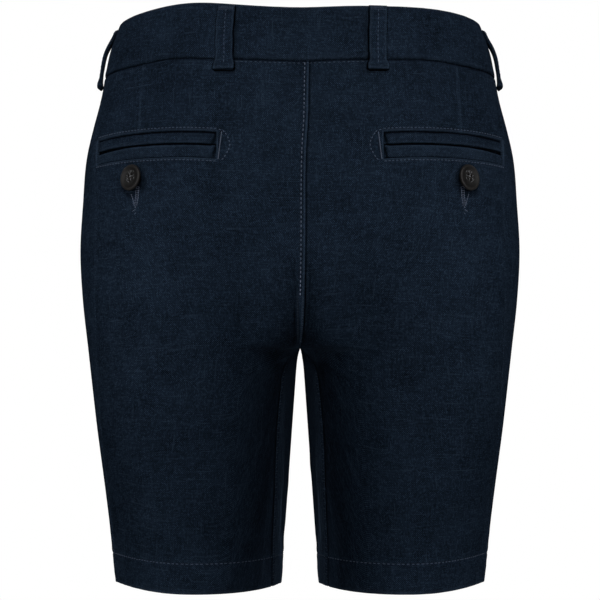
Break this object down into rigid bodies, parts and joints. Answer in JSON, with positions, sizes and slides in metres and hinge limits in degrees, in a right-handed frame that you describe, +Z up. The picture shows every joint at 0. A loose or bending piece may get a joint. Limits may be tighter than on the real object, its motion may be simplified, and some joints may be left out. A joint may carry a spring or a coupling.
{
  "type": "bermuda shorts",
  "caption": "Child's straight-leg bermuda shorts in dark navy linen, filled out as worn, with a loose-looped waistband, buttoned back welt pockets and turned-up hems.",
  "frame": {"origin": "centre of the waist opening, halfway up the waistband", "axes": "+Z up; +Y towards the wearer's front; +X towards the wearer's right"},
  "size_m": [0.261, 0.1508, 0.3379],
  "materials": {
    "linen": "matte slubby plain weave",
    "button": "matte dark horn look"
  },
  "bodies": {
    "root": {"back_panel_left": "linen", "back_panel_right": "linen", "front_panel_left": "linen", "front_panel_right": "linen", "waistband": "linen", "belt_loop_back_left": "linen", "belt_loop_back_right": "linen", "belt_loop_side_left": "linen", "belt_loop_side_right": "linen", "belt_loop_front_left": "linen", "belt_loop_front_right": "linen", "pocket_welt_upper_left": "linen", "pocket_welt_upper_right": "linen", "pocket_welt_lower_left": "linen", "pocket_welt_lower_right": "linen", "fly_shield": "linen", "pocket_button_left": "button", "pocket_button_right": "button", "waist_button": "button"}
  },
  "joints": []
}
